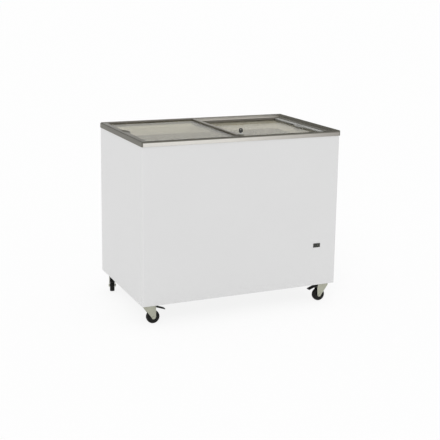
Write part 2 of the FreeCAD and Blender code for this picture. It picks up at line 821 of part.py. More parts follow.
def rear_cover():
    """Slotted sheet over the machine room, with the seat of the mains inlet."""
    body = place(new_body("rear_cover"), "cover_x", "cabinet_depth / 2", "cover_z")
    inlet = centred("inlet_width", "inlet_height", "-cover_width / 4 - 4", "-cover_height / 3 - 2")
    sheet_outline = draw(body, "XZ_Plane", centred("cover_width", "cover_height"), inlet)
    pad(body, sheet_outline, "cover_sheet", backwards=True)
    slot = draw(body, "XZ_Plane", centred(
        "slot_length", "slot_height",
        "-cover_width / 2 + 26 + slot_length / 2", "-cover_height / 2 + 72",
    ))
    first = pocket(body, slot, "cover_sheet * 3", midplane=True)
    slots = body.newObject("PartDesign::MultiTransform", "rear_cover_slots")
    slots.Originals = [first]
    steps = []
    for axis, span, count in (
        ("X_Axis", "cover_width - 52 - slot_length", 2), ("Z_Axis", "slot_pitch * 8", 9),
    ):
        step = body.newObject("PartDesign::LinearPattern", "rear_cover_step")
        step.Direction = (origin_feature(body, axis), [""])
        step.Occurrences = count
        bind(step, Length=span)
        steps.append(step)
    slots.Transformations = steps
    body.Tip = slots
    return body


def cover_screws():
    """Hexagon-headed screws at the corners of the rear cover."""
    body = place(new_body("cover_screws"), "cover_x", "cabinet_depth / 2 + cover_sheet", "cover_z")
    span_x, span_z = "(cover_width - cover_lap) / 2", "(cover_height - cover_lap) / 2"
    heads = [
        polygon(f"{i} * {span_x}", f"{j} * {span_z}", "screw_radius") for i in (-1, 1) for j in (-1, 1)
    ]
    pad(body, draw(body, "XZ_Plane", *heads), "1.6", backwards=True)
    return body


def socket():
    """Three-pin mains inlet, its face in the rear cover."""
    body = place(new_body("mains_inlet"), "cover_x - cover_width / 4 - 4",
                 "cabinet_depth / 2 + cover_sheet", "cover_z - cover_height / 3 - 2")
    pad(body, draw(body, "XZ_Plane", centred("inlet_width + 6", "inlet_height + 6")), "1",
        backwards=True)
    pad(body, draw(body, "XZ_Plane", centred("inlet_width - 0.6", "inlet_height - 0.6")), "24")
    well = centred("inlet_width - 5", "inlet_height - 5")
    pocket(body, draw(body, "XZ_Plane", well, offset="-1"), "18")
    pin = draw(body, "XZ_Plane", centred("1.8", "4", "-7", "0"), centred("1.8", "4", "7", "0"),
               centred("1.8", "4", "0", "3.5"), offset="16.5")
    pad(body, pin, "15", backwards=True)
    return body


keep("rear_cover", rear_cover())
keep("cover_screws", cover_screws())
keep("mains_inlet", socket())


# --------------------------------------------------------------------------- machine room
def compressor_pot():
    """Hermetic compressor: a drawn steel pot on a square foot."""
    body = place(new_body("compressor"), "compressor_x", "compressor_y", "compressor_foot")
    pad(body, draw(body, "XY_Plane", ("0", "0", "compressor_radius")), "compressor_height")
    pad(body, draw(body, "XY_Plane", centred("compressor_radius * 1.6", "compressor_radius * 1.6")), "3")
    return body


def compressor_feet():
    """Four rubber blocks between the tray and the compressor's foot."""
    body = place(new_body("compressor_feet"), "compressor_x", "compressor_y", "tray_top")
    reach = "compressor_radius * 0.66"
    spots = [(f"{i} * {reach}", f"{j} * {reach}") for i in (-1, 1) for j in (-1, 1)]
    pad(body, draw(body, "XY_Plane", *[centred("20", "20", x, y) for x, y in spots]), "foot_height")
    return body


keep("compressor", compressor_pot())
keep("compressor_feet", compressor_feet())
keep("compressor_tray", block(
    "compressor_tray",
    ("compressor_x - compressor_radius - 10", "compressor_y - compressor_radius - 4", "foam_bottom"),
    ("compressor_x + compressor_radius + 10", "compressor_y + compressor_radius + 4", "tray_top"),
))
starter_low = ("compressor_x - 28", "compressor_y - compressor_radius - 26", "compressor_foot + 30")
starter_high = ("compressor_x + 28", "compressor_y - compressor_radius / 2", "compressor_foot + 92")
keep("starter_box", boolean(
    "Part::Cut", "starter_box", block("starter_block", starter_low, starter_high), nodes["compressor"],
))


def pipe_runs():
    """Suction and discharge tubes from the top of the pot to the roof of the machine room."""
    body = place(new_body("refrigerant_pipes"), "compressor_x", "compressor_y",
                 "compressor_foot + compressor_height")
    suction = ("-compressor_radius * 0.6", "compressor_radius * 0.4", "4")
    discharge = ("-compressor_radius * 0.6", "-compressor_radius * 0.3", "3")
    roof = "machine_top - compressor_foot - compressor_height"
    pad(body, draw(body, "XY_Plane", suction, discharge), roof)
    return body


keep("refrigerant_pipes", pipe_runs())


# --------------------------------------------------------------------------- drain
def drain_tube():
    """Square drain through the floor, ending in a round spout with a cross over its mouth."""
    body = place(new_body("drain_tube"), "drain_x", "drain_y", "castor_height")
    outer = "drain_bore + drain_wall"
    pad(body, draw(body, "XY_Plane", centred(f"2 * ({outer})", f"2 * ({outer})")), "floor_wall + 1.5")
    flange = draw(body, "XY_Plane", centred("2 * drain_flange", "2 * drain_flange"), offset="floor_wall")
    pad(body, flange, "1.5")
    pad(body, draw(body, "XY_Plane", ("0", "0", outer)), "drain_spout", backwards=True)
    bore = draw(body, "XY_Plane", ("0", "0", "drain_bore"), offset="floor_wall + 2")
    pocket(body, bore, "floor_wall + drain_spout + 3")
    for bar in (centred("2 * drain_bore + 1", "1.4"), centred("1.4", "2 * drain_bore + 1")):
        pad(body, draw(body, "XY_Plane", bar, offset="-drain_spout"), "3")
    return body


def drain_plug():
    """Rubber bung with a square cap and a finger tab, standing in the drain."""
    body = place(new_body("drain_plug"), "drain_x", "drain_y", "cavity_floor + 1.5")
    pad(body, draw(body, "XY_Plane", ("0", "0", "drain_bore - 0.06")), "12", backwards=True)
    pad(body, draw(body, "XY_Plane", centred("2 * drain_bore + 9", "2 * drain_bore + 9")), "3")
    pad(body, draw(body, "XZ_Plane", [
        ("-6", "2"), ("6", "2"), ("6", "9"), ("3", "12"), ("-3", "12"), ("-6", "9"),
    ]), "3", midplane=True)
    return body


keep("drain_tube", drain_tube())
keep("drain_plug", drain_plug())


# --------------------------------------------------------------------------- castors
def castor_plates():
    """Four mounting plates, each with its ball race, hexagon bolts, and kingpin with its nut."""
    body = place(new_body("castor_plates"), z="castor_height - plate_sheet")
    squares, races, pins, nuts, bolts = [], [], [], [], []
    for side in (-1, 1):
        for end in (-1, 1):
            x, y = f"{side} * castor_x", f"{end} * castor_y"
            squares.append(centred("plate_size", "plate_size", x, y))
            races.append((x, y, "race_radius"))
            pins.append((x, y, "kingpin_radius"))
            nuts.append(polygon(x, y, "kingpin_radius + 3.4"))
            bolts += [
                polygon(f"{x} + {i} * bolt_spacing / 2", f"{y} + {j} * bolt_spacing / 2", "bolt_head")
                for i in (-1, 1) for j in (-1, 1)
            ]
    drop = "castor_height - plate_sheet - pin_head"
    pad(body, draw(body, "XY_Plane", *squares), "plate_sheet")
    pad(body, draw(body, "XY_Plane", *races), "race_height", backwards=True)
    pad(body, draw(body, "XY_Plane", *bolts), "3.6", backwards=True)
    pad(body, draw(body, "XY_Plane", *pins), drop, backwards=True)
    pad(body, draw(body, "XY_Plane", *nuts, offset=f"-({drop})"), "3", backwards=True)
    return body


def fork(label, x, y, turn):
    """Pressed fork: a crown under the race and two cheeks trailing to the axle, along local +X."""
    body = place(new_body(label), x, y, "0", turn)
    top = "crown_top"
    pad(body, draw(body, "XZ_Plane", [
        ("2 - race_radius", top),
        ("2 - race_radius", f"{top} - 9"),
        ("castor_trail - axle_radius * 2.8", "wheel_radius"),
        ("castor_trail - axle_radius * 1.4", "wheel_radius - axle_radius * 2.4"),
        ("castor_trail + axle_radius * 1.4", "wheel_radius - axle_radius * 2.4"),
        ("castor_trail + axle_radius * 2.8", "wheel_radius"),
        ("castor_trail + 12.5", "wheel_radius * 2"),
        ("castor_trail + 10", f"{top} - 3"),
        ("castor_trail + 7", top),
    ]), "2 * (fork_gap + fork_sheet)", midplane=True)
    gap = rectangle("-race_radius * 2", "0", "castor_trail * 3", f"{top} - fork_sheet")
    pocket(body, draw(body, "XZ_Plane", gap), "2 * fork_gap", midplane=True)
    bevel_edges(body, "2", lambda e: runs_along(e, X_AXIS) and near(e, z=top)
                and abs(e.CenterOfMass.y) > number("fork_gap"))
    eye = polygon("0", "0", "(kingpin_radius + pin_clearance) / cos(22.5 deg)", 8)
    pocket(body, draw(body, "XY_Plane", eye, offset=f"{top} + 1"), "fork_sheet + 2")
    axle = ("castor_trail", "wheel_radius", "axle_radius")
    pin = ("pedal_pin_x", "pedal_pin_z", "pedal_pin")
    pad(body, draw(body, "XZ_Plane", axle, pin), "2 * fork_gap + fork_sheet", midplane=True)
    for back in (True, False):
        side = "fork_gap + fork_sheet" if not back else "-(fork_gap + fork_sheet)"
        nut = polygon("castor_trail", "wheel_radius", "axle_radius * 1.7")
        pad(body, draw(body, "XZ_Plane", nut, offset=side), "3", backwards=back)
    return body


def wheel(label, x, y, turn):
    """Solid wheel on its axle."""
    body = place(new_body(label), x, y, "0", turn)
    centre = ("castor_trail", "wheel_radius")
    disc = draw(body, "XZ_Plane", (*centre, "wheel_radius"), (*centre, "axle_radius + pin_clearance"))
    pad(body, disc, "wheel_width", midplane=True)
    return body


def pedal(label, x, y, turn):
    """Brake pedal pinned between the cheeks, its shoe held off the tyre while released."""
    body = place(new_body(label), x, y, "0", turn)
    tread = "wheel_radius * 2"
    pad(body, draw(body, "XZ_Plane", [
        ("pedal_pin_x - 6", "pedal_pin_z - 3"),
        ("pedal_pin_x", "pedal_pin_z - 6"),
        ("pedal_pin_x + 10", f"{tread} + 5"),
        ("pedal_pin_x + 11.5", f"{tread} + 2.4"),
        ("pedal_pin_x + 17", f"{tread} + 2.4"),
        ("pedal_pin_x + 20", "pedal_pin_z + 2.5"),
        ("pedal_reach - 1", "pedal_tip - 3.8"),
        ("pedal_reach", "pedal_tip"),
        ("pedal_pin_x + 20", "pedal_pin_z + 7.8"),
        ("pedal_pin_x + 12", "pedal_pin_z + 8.6"),
        ("pedal_pin_x - 5", "pedal_pin_z + 6"),
    ]), "pedal_width", midplane=True)
    eye = polygon("pedal_pin_x", "pedal_pin_z", "(pedal_pin + pin_clearance) / cos(30 deg)")
    pocket(body, draw(body, "XZ_Plane", eye), "pedal_width * 2", midplane=True)
    return body


keep("castor_plates", castor_plates())
castors = {
    "front_left": ("-castor_x", "-castor_y", 0),
    "front_right": ("castor_x", "-castor_y", 180),
    "rear_left": ("-castor_x", "castor_y", -107.5),
    "rear_right": ("castor_x", "castor_y", -74),
}
for corner, stance in castors.items():
    for piece in (fork, wheel, pedal):
        name = f"castor_{corner}_{piece.__name__}"
        keep(name, piece(name, *stance))


# --------------------------------------------------------------------------- lids
def sliding_lid(side, centre_x, bottom, depth, turn):
    """Pane, edge profiles and grip of one lid; the grip is at its local -X end."""
    spot = (centre_x, "0", bottom, turn)
    half_w, half_d = "lid_width / 2", f"({depth}) / 2"
    groove_top = "pane_level + glass_sheet + seat_gap"

    runner = place(new_body(f"{side}_runner"), *spot)
    outer, inner = f"-{half_d}", f"-{half_d} + runner_width"
    pad(runner, draw(runner, "YZ_Plane", [
        (outer, "0"),
        (inner, "0"),
        (inner, "pane_level"),
        (f"{inner} - glass_bite", "pane_level"),
        (f"{inner} - glass_bite", groove_top),
        (inner, groove_top),
        (inner, "lid_height"),
        (f"{outer} + 1", "lid_height"),
        (outer, "lid_height - 1"),
    ]), "lid_width", midplane=True)

    stile = place(new_body(f"{side}_meeting_stile"), *spot)
    outer, inner = half_w, f"{half_w} - meeting_width"
    length = f"{depth} - 2 * runner_width"
    pad(stile, draw(stile, "XZ_Plane", [
        (outer, "0"),
        (inner, "0"),
        (inner, "pane_level"),
        (f"{inner} + glass_bite", "pane_level"),
        (f"{inner} + glass_bite", groove_top),
        (inner, groove_top),
        (inner, "lid_height"),
        (f"{outer} - 1", "lid_height"),
        (outer, "lid_height - 1"),
    ]), length, midplane=True)
    frame = together(f"{side}_lid_frame", runner, mirrored(f"{side}_runner_back", runner, Y_AXIS), stile)
    keep(f"{side}_lid_frame", frame)

    pane = place(new_body(f"{side}_lid_glass"), *spot)
    left = f"-{half_w} + end_stile_width - glass_bite + seat_gap"
    right = f"{half_w} - meeting_width + glass_bite - seat_gap"
    reach = f"{half_d} - runner_width + glass_bite - seat_gap"
    outline = rectangle(left, f"-({reach})", right, reach)
    pad(pane, draw(pane, "XY_Plane", outline, offset="pane_level"), "glass_sheet")
    keep(f"{side}_lid_glass", pane)

    grip = place(new_body(f"{side}_lid_grip"), *spot)
    edge = f"-{half_w} + end_stile_width"
    stile_half = f"({length}) / 2"
    bar = rectangle(f"-{half_w}", f"-({stile_half})", edge, stile_half)
    pad(grip, draw(grip, "XY_Plane", bar), "lid_height")
    groove = rectangle(f"{edge} - glass_bite", f"-({stile_half}) - 1", f"{edge} + 1", f"{stile_half} + 1")
    pocket(grip, draw(grip, "XY_Plane", groove, offset=groove_top), f"{groove_top} - pane_level")
    swell = "((grip_length / 2) ^ 2 + grip_reach ^ 2) / (2 * grip_reach)"
    bulge = [
        (f"{edge} - 2", "-grip_length / 2"),
        (edge, "-grip_length / 2", f"-({swell})"),
        (edge, "grip_length / 2"),
        (f"{edge} - 2", "grip_length / 2"),
    ]
    pad(grip, draw(grip, "XY_Plane", bulge, offset=groove_top), f"lid_height - ({groove_top})")
    cup_half, cup_reach = "(grip_length / 2 - 2 * grip_rim)", "(grip_reach - grip_rim)"
    dish = f"({cup_half} ^ 2 + {cup_reach} ^ 2) / (2 * {cup_reach})"
    cup = [
        (f"{edge} - end_stile_width / 2", f"-{cup_half}"),
        (edge, f"-{cup_half}", f"-({dish})"),
        (edge, cup_half),
        (f"{edge} - end_stile_width / 2", cup_half),
    ]
    pocket(grip, draw(grip, "XY_Plane", cup, offset="lid_height"), "grip_depth")
    bevel_edges(grip, "0.8", lambda e: near(e, z="lid_height") and e.BoundBox.ZLength < 0.01
                and (e.Curve.TypeId == "Part::GeomCircle" or abs(e.CenterOfMass.x + number(half_w)) < 0.01))
    keep(f"{side}_lid_grip", grip)


sliding_lid("left", "upper_lid_x", "upper_lid_z", "upper_lid_depth", 0)
sliding_lid("right", "lower_lid_x", "lower_lid_z", "lower_lid_depth", 180)
brush_x = "upper_lid_x + lid_width / 2 - meeting_width / 2"
brush_reach = "overall_depth / 2 - step_wall - 2 * side_gap"
keep("lid_brush", block(
    "lid_brush",
    (f"{brush_x} - brush_width / 2", f"-({brush_reach})", "upper_lid_z - brush_height"),
    (f"{brush_x} + brush_width / 2", brush_reach, "upper_lid_z"),
))


# --------------------------------------------------------------------------- lock
lock_spot = (
    "upper_lid_x + lid_width / 2 - lock_width / 2",
    "-upper_lid_depth / 2 + lock_depth / 2 + 2",
    "upper_lid_z + lid_height",
)


def lock_case():
    """Housing on the corner of the upper lid, bored for the barrel."""
    body = place(new_body("lock_case"), *lock_spot)
    pad(body, draw(body, "XY_Plane", centred("lock_width", "lock_depth")), "lock_height")
    bevel_edges(body, "5", lambda e: runs_along(e, Z_AXIS))
    bevel_edges(body, "1.2", lambda e: near(e, z="lock_height"))
    bore = draw(body, "XY_Plane", ("0", "0", "barrel_radius + pin_clearance"), offset="lock_height + 1")
    pocket(body, bore, "lock_height - 1")
    return body


def lock_barrel():
    """Turning plug of the lock with its keyway."""
    body = place(new_body("lock_barrel"), *lock_spot)
    low = "2.2"
    disc = draw(body, "XY_Plane", ("0", "0", "barrel_radius"), offset=low)
    pad(body, disc, f"lock_height + barrel_proud - {low}")
    keyway = centred("key_width + 0.1", "key_sheet + 0.1")
    pocket(body, draw(body, "XY_Plane", keyway, offset="lock_height + barrel_proud + 1"), "lock_height")
    return body


def lock_key():
    """Flat blade under a moulded bow."""
    body = place(new_body("lock_key"), *lock_spot)
    top = "lock_height + barrel_proud"
    blade = rectangle("-key_width / 2", f"{top} + 1.2 - lock_height", "key_width / 2", f"{top} + 5")
    pad(body, draw(body, "XZ_Plane", blade), "key_sheet", midplane=True)
    pad(body, draw(body, "XZ_Plane", [
        ("-key_width / 2 - 1.5", f"{top} + 2.5"),
        ("key_width / 2 + 1.5", f"{top} + 2.5"),
        ("bow_width / 2", f"{top} + 7"),
        ("bow_width / 2", f"{top} + bow_height - 6"),
        ("bow_width / 2 - 5", f"{top} + bow_height"),
        ("5 - bow_width / 2", f"{top} + bow_height"),
        ("-bow_width / 2", f"{top} + bow_height - 6"),
        ("-bow_width / 2", f"{top} + 7"),
    ]), "bow_sheet", midplane=True)
    ring_hole = draw(body, "XZ_Plane", ("0", f"{top} + bow_height - 6.5", "2.6"))
    pocket(body, ring_hole, "bow_sheet * 2", midplane=True)
    return body


keep("lock_case", lock_case())
keep("lock_barrel", lock_barrel())
keep("lock_key", lock_key())


# --------------------------------------------------------------------------- check and export
doc.recompute()
faults = []
for item in doc.Objects:
    if {"Invalid", "Error"} & set(item.State):
        faults.append(f"{item.Label} is {item.State}")
for name, item in nodes.items():
    shape = item.Shape
    if shape.isNull() or not shape.isValid() or not shape.Solids:
        faults.append(f"{name} has no sound solid")
if faults:
    raise RuntimeError("; ".join(faults))

os.makedirs("parts", exist_ok=True)
for name, item in nodes.items():
    item.Shape.exportStep(f"parts/{name}.step")
print(f"{len(nodes)} sub-parts written")
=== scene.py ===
import bpy
import bmesh
import json
import math
from mathutils import Matrix, Vector


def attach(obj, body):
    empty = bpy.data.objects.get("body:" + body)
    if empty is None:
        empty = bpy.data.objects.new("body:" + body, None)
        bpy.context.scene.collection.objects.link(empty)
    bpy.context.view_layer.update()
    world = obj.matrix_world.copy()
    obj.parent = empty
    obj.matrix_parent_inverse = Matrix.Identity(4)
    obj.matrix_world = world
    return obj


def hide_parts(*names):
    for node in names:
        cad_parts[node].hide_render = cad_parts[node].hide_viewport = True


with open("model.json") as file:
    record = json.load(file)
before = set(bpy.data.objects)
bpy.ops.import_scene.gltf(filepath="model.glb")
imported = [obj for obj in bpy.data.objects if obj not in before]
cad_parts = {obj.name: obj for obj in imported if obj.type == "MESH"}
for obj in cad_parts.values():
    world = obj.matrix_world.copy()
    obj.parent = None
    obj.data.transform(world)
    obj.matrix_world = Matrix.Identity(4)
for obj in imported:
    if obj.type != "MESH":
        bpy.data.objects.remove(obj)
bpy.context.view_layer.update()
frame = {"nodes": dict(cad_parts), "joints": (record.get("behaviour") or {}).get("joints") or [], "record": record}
cadNodes = frame["nodes"]
bodyOf = {node: body for body, group in frame["record"]["behaviour"]["bodies"].items() for node in group}
corners = ("front_left", "front_right", "rear_left", "rear_right")
scene = bpy.context.scene
mm = 0.001
print("frame loaded:", len(cadNodes), "nodes")


def boxOf(name):
    # lowest and highest corner of a CAD node, at rest
    spots = [vertex.co for vertex in cadNodes[name].data.vertices]
    low = Vector([min(spot[axis] for spot in spots) for axis in range(3)])
    high = Vector([max(spot[axis] for spot in spots) for axis in range(3)])
    return low, high


# Colours and the node helper

def linearColour(hexText, alpha=1.0):
    channels = [int(hexText[i:i + 2], 16) / 255 for i in (0, 2, 4)]
    return tuple(c / 12.92 if c <= 0.04045 else ((c + 0.055) / 1.055) ** 2.4 for c in channels) + (alpha,)


def addNode(tree, kind, inputs=None, **settings):
    # inputs maps a socket to a value, or to the output socket of another node
    node = tree.nodes.new(kind)
    for name, value in settings.items():
        setattr(node, name, value)
    for socket, value in (inputs or {}).items():
        if isinstance(value, bpy.types.NodeSocket):
            tree.links.new(value, node.inputs[socket])
        else:
            node.inputs[socket].default_value = value
    return node


# Finishes. A look has a colour, a roughness and a grain size in mm. It may add: metallic, specular and coat;
# stretch of the grain along X, Y and Z; fleck, how far the grain changes the tone; cloud, the size in mm of
# larger patches, and tone, how far they change it; roughSpread, how far the grain changes the roughness;
# bump and depth, its strength and height in mm; fade, a second colour reached along X or Z, in metres.
plainLook = dict(metallic=0.0, specular=0.5, coat=0.0, stretch=(1.0, 1.0, 1.0), fleck=0.0, cloud=120,
                 tone=0.04, roughSpread=0.05, bump=0.1, depth=0.05, fade=None)
grainShape = dict(detail=3.0, roughness=0.55, reach=0.20, fleckReach=0.25, cloudDetail=2.0,
                  coatRoughness=0.12)


def swing(tree, noise, reach, middle, change):
    # noise within reach of one half becomes middle, more or less by change
    ranged = addNode(tree, "ShaderNodeMapRange", {
        "Value": noise.outputs["Fac"], "From Min": 0.5 - reach, "From Max": 0.5 + reach,
        "To Min": middle - change, "To Max": middle + change})
    return ranged.outputs["Result"]


def surface(name, given):
    look = {**plainLook, **given}
    material = bpy.data.materials.new(name)
    material.use_nodes = True
    tree = material.node_tree
    shader = tree.nodes["Principled BSDF"]
    shader.inputs["Metallic"].default_value = look["metallic"]
    shader.inputs["Specular IOR Level"].default_value = look["specular"]
    shader.inputs["Coat Weight"].default_value = look["coat"]
    shader.inputs["Coat Roughness"].default_value = grainShape["coatRoughness"]
    place = addNode(tree, "ShaderNodeTexCoord").outputs["Object"]
    mapped = addNode(tree, "ShaderNodeMapping", {"Vector": place, "Scale": look["stretch"]})
    grain = addNode(tree, "ShaderNodeTexNoise", {
        "Vector": mapped.outputs["Vector"], "Scale": 1 / (look["grain"] * mm), "Detail": grainShape["detail"],
        "Roughness": grainShape["roughness"]})
    cloud = addNode(tree, "ShaderNodeTexNoise", {
        "Vector": place, "Scale": 1 / (look["cloud"] * mm), "Detail": grainShape["cloudDetail"]})
    tone = addNode(tree, "ShaderNodeMath", {
        0: swing(tree, cloud, grainShape["reach"], 1.0, look["tone"]),
        1: swing(tree, grain, grainShape["fleckReach"], 1.0, look["fleck"])}, operation="MULTIPLY")
    base = addNode(tree, "ShaderNodeMix", {6: linearColour(look["hex"]), 7: linearColour(look["hex"])},
                   data_type="RGBA")
    # fade: a second colour along X or Z; on the rails it is two-tone colour, on the front trim a painted
    # reflection
    if look["fade"]:
        axis, start, end, second = look["fade"]
        spot = addNode(tree, "ShaderNodeSeparateXYZ", {"Vector": place})
        share = addNode(tree, "ShaderNodeMapRange", {
            "Value": spot.outputs[axis], "From Min": start, "From Max": end})
        tree.links.new(share.outputs["Result"], base.inputs[0])
        base.inputs[7].default_value = linearColour(second)
    colour = addNode(tree, "ShaderNodeVectorMath", {0: base.outputs[2], "Scale": tone.outputs["Value"]},
                     operation="SCALE")
    tree.links.new(colour.outputs["Vector"], shader.inputs["Base Color"])
    roughness = swing(tree, grain, grainShape["reach"], look["rough"], look["roughSpread"])
    tree.links.new(roughness, shader.inputs["Roughness"])
    bump = addNode(tree, "ShaderNodeBump", {
        "Height": grain.outputs["Fac"], "Strength": look["bump"], "Distance": look["depth"] * mm})
    tree.links.new(bump.outputs["Normal"], shader.inputs["Normal"])
    return material


finishes = {
    # polyester powder coat on steel sheet, baked: even white with a faint orange peel about 2 mm across
    "powderCoatedSteel": dict(hex="DBDBDB", rough=0.42, grain=2.2, bump=0.25, depth=0.04, tone=0.006,
                              cloud=300),
    # hot-dip galvanised sheet: grey with a mottle of spangles
    "galvanisedSteel": dict(hex="A9ABA8", rough=0.42, metallic=1.0, grain=7, tone=0.06, fleck=0.10, cloud=40),
    # pressed steel under bright zinc plating: slightly warm, soft gloss
    "zincPlatedSteel": dict(hex="AFB0A1", rough=0.36, metallic=0.85, grain=3, tone=0.05, fleck=0.05,
                            cloud=20),
    # mill-finish aluminium strip on which the upper lid slides, polished by it
    "drawnAluminium": dict(hex="CFCCC6", rough=0.34, metallic=1.0, grain=1.2, stretch=(0.05, 0.05, 1),
                           depth=0.02, tone=0.03, fleck=0.05),
    # anodised aluminium drawn along its length: fine lines along X; its colour fades from pale at the left end to
    # darker grey at the right end, a painted reflection of light falling off along the bar
    "anodisedAluminiumPaintedReflection": dict(hex="DEDBD5", rough=0.30, metallic=1.0, grain=1.2, stretch=(0.02, 1, 1),
                              bump=0.12, depth=0.02, tone=0.02, fleck=0.05,
                              fade=("X", -0.10, 0.52, "A09C96")),
    # the same extrusion with a grey-bronze tint, as on the lids' profiles
    "greyAnodisedAluminium": dict(hex="7C786F", rough=0.46, metallic=0.6, grain=1.2, stretch=(0.05, 0.05, 1),
                                  depth=0.02, tone=0.02, fleck=0.04),
    # extruded PVC with faint draw lines, in a dull mid grey that is painted shade: the left lid's grip is the same
    # grey plastic as the right one, darkened as if seen from its unlit side
    "gripGreyPaintedShade": dict(hex="66645B", rough=0.50, grain=1.6, stretch=(0.3, 0.3, 1), bump=0.18, depth=0.03,
                            tone=0.03, fleck=0.02),
    # the same profile drawn together with a pale skirt, which hangs down into the cold room
    "twoToneExtrudedPvc": dict(hex="D8D5CD", rough=0.52, grain=1.6, stretch=(0.3, 0.3, 1), bump=0.18,
                               depth=0.03, tone=0.03, fleck=0.02, fade=("Z", 0.8640, 0.8645, "66645B")),
    # moulded ABS with a fine spark-eroded texture, in four colours
    "lightGreyAbs": dict(hex="9A9A96", rough=0.46, grain=0.9, bump=0.2, depth=0.02, tone=0.02),
    "whiteAbs": dict(hex="DCDCDA", rough=0.50, grain=0.8, bump=0.22, depth=0.02, tone=0.01),
    "darkGreyAbs": dict(hex="30312C", rough=0.48, grain=0.8, bump=0.22, depth=0.02, tone=0.03),
    "blackAbs": dict(hex="2A2A29", rough=0.45, grain=0.8, bump=0.25, depth=0.03, tone=0.05),
    # glass-filled nylon: black, slightly chalky where it has been trodden on
    "blackNylon": dict(hex="171716", specular=0.25, rough=0.52, grain=1.4, bump=0.25, depth=0.04, tone=0.10,
                       fleck=0.06, cloud=15),
    # solid rubber tread: very dark, dull, dusty in patches
    "treadRubber": dict(hex="191918", specular=0.2, rough=0.72, grain=1.8, bump=0.35, depth=0.06, tone=0.12,
                        fleck=0.10, cloud=12),
    # soft rubber of feet and plug
    "softRubber": dict(hex="3A3A39", rough=0.75, grain=1.0, bump=0.2, depth=0.03, tone=0.05),
    # embossed aluminium liner sheet with a leathery stucco pattern about 6 mm across; its warm grey is the sheet's
    # own light grey darkened by painted shade, for the little light that reaches deep into the chest
    "stuccoAluminiumDepthShade": dict(hex="8D8A80", rough=0.50, metallic=0.1, grain=6.0, bump=0.55, depth=0.25,
                            tone=0.02, fleck=0.03),
    # rigid polyurethane foam, cream, open cells at the cut
    "polyurethaneFoam": dict(hex="D9CFA6", rough=0.9, grain=1.5, bump=0.6, depth=0.3, tone=0.05, fleck=0.08),
    # glossy black stoving enamel
    "blackEnamel": dict(hex="17181A", rough=0.22, grain=3, depth=0.03, coat=0.5),
    # black tinted acrylic, polished
    "smokedAcrylic": dict(hex="1D1E1A", rough=0.16, grain=4, bump=0.0, depth=0.0, tone=0.05),
    # printed figures of an unlit display
    "unlitFigure": dict(hex="6E7160", rough=0.4, grain=0.6, bump=0.05, depth=0.01, tone=0.02),
    # drawn copper tube, dulled
    "dullCopper": dict(hex="B26B4A", rough=0.35, metallic=1.0, grain=3, tone=0.12, fleck=0.05, cloud=18),
    # chromium plate on brass
    "polishedChrome": dict(hex="D8D9DA", rough=0.14, metallic=1.0, grain=2, tone=0.01, roughSpread=0.03),
    # brushed and nickel-plated zinc casting
    "satinNickel": dict(hex="8C8B82", rough=0.42, metallic=0.9, grain=1.2, stretch=(0.2, 1, 1), depth=0.02,
                        tone=0.03, fleck=0.04),
}
glass = dict(hex="F4F4EE", tint="EFEDE4", coating=0.60, ior=1.5, dustScale=9.0, dustDetail=3.0, dustFrom=0.35,
             dustTo=0.8, dustMost=0.05)


def temperedGlass():
    # float glass, 4 mm, with a low-reflection coating that lets most of the light straight through, and a
    # film of dust in patches
    material = bpy.data.materials.new("temperedGlass")
    material.use_nodes = True
    tree = material.node_tree
    shader = tree.nodes["Principled BSDF"]
    shader.inputs["Base Color"].default_value = linearColour(glass["hex"])
    shader.inputs["Transmission Weight"].default_value = 1.0
    shader.inputs["IOR"].default_value = glass["ior"]
    place = addNode(tree, "ShaderNodeTexCoord")
    film = addNode(tree, "ShaderNodeTexNoise", {
        "Vector": place.outputs["Object"], "Scale": glass["dustScale"], "Detail": glass["dustDetail"]})
    dust = addNode(tree, "ShaderNodeMapRange", {
        "Value": film.outputs["Fac"], "From Min": glass["dustFrom"], "From Max": glass["dustTo"],
        "To Min": 0.0, "To Max": glass["dustMost"]})
    tree.links.new(dust.outputs["Result"], shader.inputs["Roughness"])
    ray = addNode(tree, "ShaderNodeLightPath")
    share = addNode(tree, "ShaderNodeMath", {0: ray.outputs["Is Shadow Ray"], 1: glass["coating"]},
                    operation="MAXIMUM")
    clear = addNode(tree, "ShaderNodeBsdfTransparent", {"Color": linearColour(glass["tint"])})
    blend = addNode(tree, "ShaderNodeMixShader", {
        0: share.outputs["Value"], 1: shader.outputs["BSDF"], 2: clear.outputs["BSDF"]})
    tree.links.new(blend.outputs["Shader"], tree.nodes["Material Output"].inputs["Surface"])
    return material


materials = {name: surface(name, look) for name, look in finishes.items()}
materials["temperedGlass"] = temperedGlass()
print("finishes ready:", len(materials))


# Which nodes wear each finish
wearers = {
    "powderCoatedSteel": ("outer_shell", "back_panel", "rear_cover"),
    "galvanisedSteel": ("base_pan", "machine_floor", "machine_partition", "castor_pads", "compressor_tray"),
    "zincPlatedSteel": ("cover_screws", "castor_plates"),
    "polyurethaneFoam": ("insulation",),
    "stuccoAluminiumDepthShade": ("liner",),
    "twoToneExtrudedPvc": ("frame_front_rail", "frame_back_rail", "frame_left_rail", "frame_right_rail"),
    "anodisedAluminiumPaintedReflection": ("front_trim",),
    "drawnAluminium": ("track_strips",),
    "greyAnodisedAluminium": ("left_lid_frame", "right_lid_frame"),
    # the left grip wears a darker copy of the grips' grey: painted shade
    "gripGreyPaintedShade": ("left_lid_grip",),
    "lightGreyAbs": ("right_lid_grip",),
    "temperedGlass": ("left_lid_glass", "right_lid_glass"),
    "darkGreyAbs": ("display_bezel",),
    "smokedAcrylic": ("display_window",),
    "whiteAbs": ("side_grille", "thermostat", "drain_tube"),
    "blackAbs": ("thermostat_knob", "mains_inlet", "starter_box", "lock_key"),
    "blackEnamel": ("compressor",),
    "softRubber": ("compressor_feet", "drain_plug"),
    "dullCopper": ("refrigerant_pipes",),
    "blackNylon": ("lid_brush",),
    "satinNickel": ("lock_case",),
    "polishedChrome": ("lock_barrel",),
}
